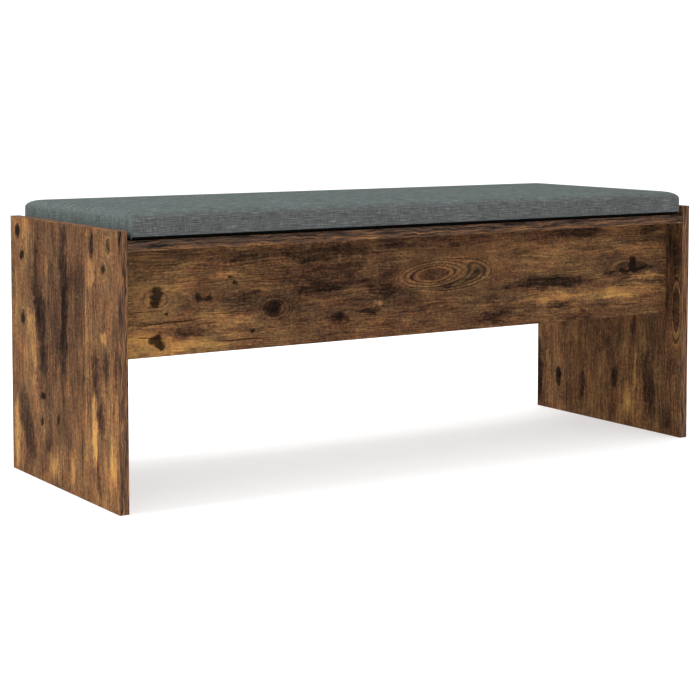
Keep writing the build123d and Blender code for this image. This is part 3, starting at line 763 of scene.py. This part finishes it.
def woven_fabric():
    """Grey slubby plain weave on the cloth's own coordinates."""
    material, tree, shader = start_finish("heather_grey_weave")
    cloth = put(tree, "UVMap", uv_map="cloth").outputs["UV"]
    cloth = put(tree, "VectorMath", {0: cloth, "Scale": 1 / MM}, operation="SCALE")
    weft = stretched(tree, cloth, (SLUB, THREAD), 3.0, 0.55)
    warp = stretched(tree, cloth, (THREAD, 0.6 * SLUB), 3.0, 0.55)
    cloud = stretched(tree, cloth, (90, 50), 3.0, 0.5)
    tone = put(tree, "Math", {0: weft, 1: 1.05, 2: -0.42}, operation="MULTIPLY_ADD")
    tone = put(tree, "Math", {0: warp, 1: 0.62, 2: tone}, operation="MULTIPLY_ADD")
    tone = put(tree, "Math", {0: cloud, 1: 0.16, 2: tone}, operation="MULTIPLY_ADD")
    paint = put(tree, "ValToRGB", {"Fac": tone}, stops=[
        (0.15, "#2c2e2f"), (0.85, "#828585"), (0.42, "#4c4e4e"), (0.60, "#5b5d5d")])
    # Painted light: faces turned away from the front and back get a faint green tint.
    facing = put(tree, "SeparateXYZ", {0: put(tree, "TexCoord").outputs["Normal"]}).outputs["Y"]
    facing = put(tree, "Math", {0: facing}, operation="ABSOLUTE")
    facing = put(tree, "MapRange", {"Value": facing, 1: 0.3, 2: 0.9}, interpolation_type="SMOOTHSTEP")
    painted_light_tint = put(tree, "ValToRGB", {"Fac": facing}, stops=[(0.0, "#f2fffb"), (1.0, "#ffffff")])
    paint = put(tree, "MixRGB", {"Fac": 1.0, "Color1": paint, "Color2": painted_light_tint}, blend_type="MULTIPLY")
    split = put(tree, "SeparateXYZ", {0: cloth}).outputs
    over = put(tree, "Math", {0: split[0], 1: math.pi / THREAD}, operation="MULTIPLY")
    over = put(tree, "Math", {0: over}, operation="SINE")
    under = put(tree, "Math", {0: split[1], 1: math.pi / THREAD}, operation="MULTIPLY")
    under = put(tree, "Math", {0: under}, operation="SINE")
    weave = put(tree, "Math", {0: over, 1: under}, operation="MULTIPLY")
    height = put(tree, "Math", {0: weave, 1: 0.25, 2: weft}, operation="MULTIPLY_ADD")
    height = put(tree, "Math", {0: height, 1: warp}, operation="ADD")
    bump = put(tree, "Bump", {"Height": height, "Strength": 0.6, "Distance": 0.35 * MM})
    tree.links.new(paint.outputs[0], shader.inputs["Base Color"])
    tree.links.new(bump.outputs[0], shader.inputs["Normal"])
    shader.inputs["Roughness"].default_value = 0.92
    shader.inputs["Specular IOR Level"].default_value = 0.0
    shader.inputs["Sheen Weight"].default_value = 0.01
    shader.inputs["Sheen Roughness"].default_value = 0.6
    return material


cover.data.materials.append(woven_fabric())
shell = cover.modifiers.new("cloth_thickness", "SOLIDIFY")
shell.thickness = 0.9 * MM
shell.offset = -1
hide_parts("cushion_cover")
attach(cover, "lid")
print("cover dressed, rides on the lid")

# %% [markdown]
# ### The foam
# The slab inside is cut to the cover's shape, 1.2 mm smaller all round, so the same rings make it. It is open
# cell foam, a pale yellow with small pores, and it fills its cover fully.

# %% Foam
foam = bpy.data.objects.new("cushion_foam_slab", cover_mesh("cushion_foam_slab", 1.2 * MM))
scene.collection.objects.link(foam)
foam.data.materials.append(
    plain_finish("open_cell_foam", "#cbb98a", "#e3d6ad", (1.2, 1.2, 1.2), (0.9, 1.0), depth=0.4))
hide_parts("cushion_foam")
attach(foam, "lid")
print(f"foam with {len(foam.data.vertices)} vertices")

# %% [markdown]
# ## Studio
# A plain pale sweep: a round paper floor whose edge curves up far behind the bench, so that no horizon shows.
# It glows a little, which keeps it nearly white while a soft shadow still lies under the bench.

# %% Sweep
FLOOR_REACH = 9.0         # m, how far out the floor stays flat
WALL_RISE = 5.0           # m, radius of the curve beyond
SWEEP_SIDES = 64
FLOOR_SINK = 0.2 * MM     # the floor lies this much under the side panels


def sweep():
    """A floor that curves up behind the bench, wide enough for every view."""
    mesh = bpy.data.meshes.new("studio_sweep")
    bm = bmesh.new()
    turns = [2 * math.pi * i / SWEEP_SIDES for i in range(SWEEP_SIDES)]
    rows = [(FLOOR_REACH * share, 0.0) for share in (0.02, 0.3, 1.0)]
    for step in range(1, 7):
        lift = math.radians(15 * step)
        rows.append((FLOOR_REACH + WALL_RISE * math.sin(lift), WALL_RISE * (1 - math.cos(lift))))
    rings = [[bm.verts.new((radius * math.cos(turn), radius * math.sin(turn), height)) for turn in turns]
             for radius, height in rows]
    bm.faces.new(rings[0])
    for low, high in zip(rings, rings[1:]):
        for i in range(SWEEP_SIDES):
            j = (i + 1) % SWEEP_SIDES
            face = bm.faces.new([low[i], low[j], high[j], high[i]])
            face.smooth = True
    bmesh.ops.recalc_face_normals(bm, faces=bm.faces)
    bm.to_mesh(mesh)
    bm.free()
    return bpy.data.objects.new("studio_sweep", mesh)


floor = sweep()
floor.location.z = -FLOOR_SINK
scene.collection.objects.link(floor)
paper, _, paper_shader = start_finish("white_paper_sweep")
paper_shader.inputs["Base Color"].default_value = linear("#cccccc")
paper_shader.inputs["Emission Color"].default_value = linear("#ffffff")
paper_shader.inputs["Emission Strength"].default_value = 0.5
paper_shader.inputs["Roughness"].default_value = 0.9
floor.data.materials.append(paper)
print(f"sweep {2 * FLOOR_REACH:.0f} m across")

# %% [markdown]
# ### Light
# One large soft lamp at the upper left, which is why the left side panel is the lightest, a weaker one
# overhead, and an even white surround that fills the shadows. The Standard view keeps colours as picked.

# %% Light
def lamp(name, place, size, power, aim=(0, 0, 0.3)):
    """A square soft lamp at place, turned to aim."""
    light = bpy.data.lights.new(name, "AREA")
    light.shape = "SQUARE"
    light.size = size
    light.energy = power
    obj = bpy.data.objects.new(name, light)
    obj.location = place
    obj.rotation_euler = (Vector(aim) - Vector(place)).to_track_quat("-Z", "Y").to_euler()
    scene.collection.objects.link(obj)


lamp("key_softbox", (-3.6, 0.5, 2.4), 1.8, 110, aim=(0, 0, 0.2))
lamp("top_softbox", (0.2, 0.3, 3.6), 2.4, 60)

world = bpy.data.worlds.new("white_surround")
scene.world = world
world.use_nodes = True
world.node_tree.nodes["Background"].inputs["Color"].default_value = linear("#ffffff")
world.node_tree.nodes["Background"].inputs["Strength"].default_value = 1.02
scene.view_settings.view_transform = "Standard"

# %% [markdown]
# ### Camera
# The camera stands a little above the seat, three metres away at the front left, with a long lens. It looks
# slightly down, and a lens shift takes up the rest of the way, so that the side panels stay almost upright.

# %% Camera
camera_data = bpy.data.cameras.new("studio_camera")
camera_data.lens = 91.54
camera_data.shift_y = -0.195
camera = bpy.data.objects.new("studio_camera", camera_data)
camera.location = (-1.6353, -2.5004, 0.6021)
TURN, DIP = math.radians(32.72), math.radians(3.78)
camera.rotation_euler = (math.radians(90) - DIP, 0, -TURN)
scene.collection.objects.link(camera)
scene.camera = camera
print(f"camera {camera.location.length:.2f} m from the floor's middle")
